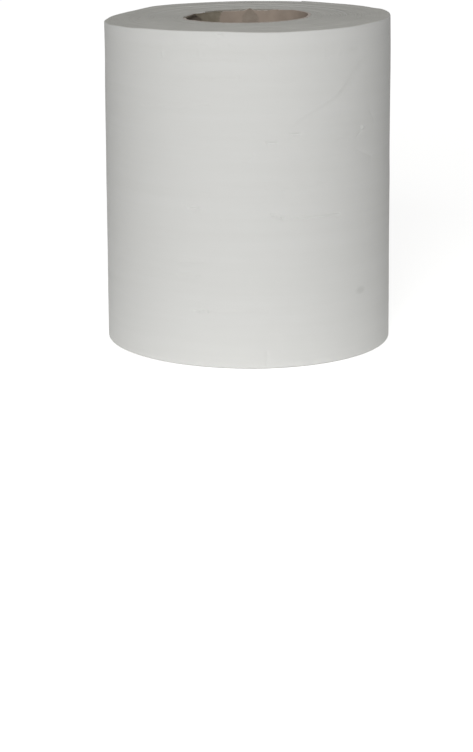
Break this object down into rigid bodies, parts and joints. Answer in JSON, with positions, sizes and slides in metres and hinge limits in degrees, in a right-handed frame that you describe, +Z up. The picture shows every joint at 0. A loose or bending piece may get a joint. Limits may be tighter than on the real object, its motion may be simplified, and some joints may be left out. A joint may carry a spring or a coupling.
{
  "type": "paper towel roll",
  "caption": "Plain white paper towel roll wound on a hollow board core, standing on its end, with its turns showing at both ends.",
  "frame": {"origin": "middle of the roll's foot, on the surface that it stands on", "axes": "+Z up along the core; +X towards the side on which the upper end stands a little higher; the web's loose end lies on the +Y side"},
  "size_m": [0.1798, 0.1802, 0.2044],
  "materials": {
    "paper": "soft matt crepe tissue",
    "board": "matt grey-brown core board"
  },
  "bodies": {
    "root": {"wound_paper": "paper", "core": "board"}
  },
  "joints": []
}
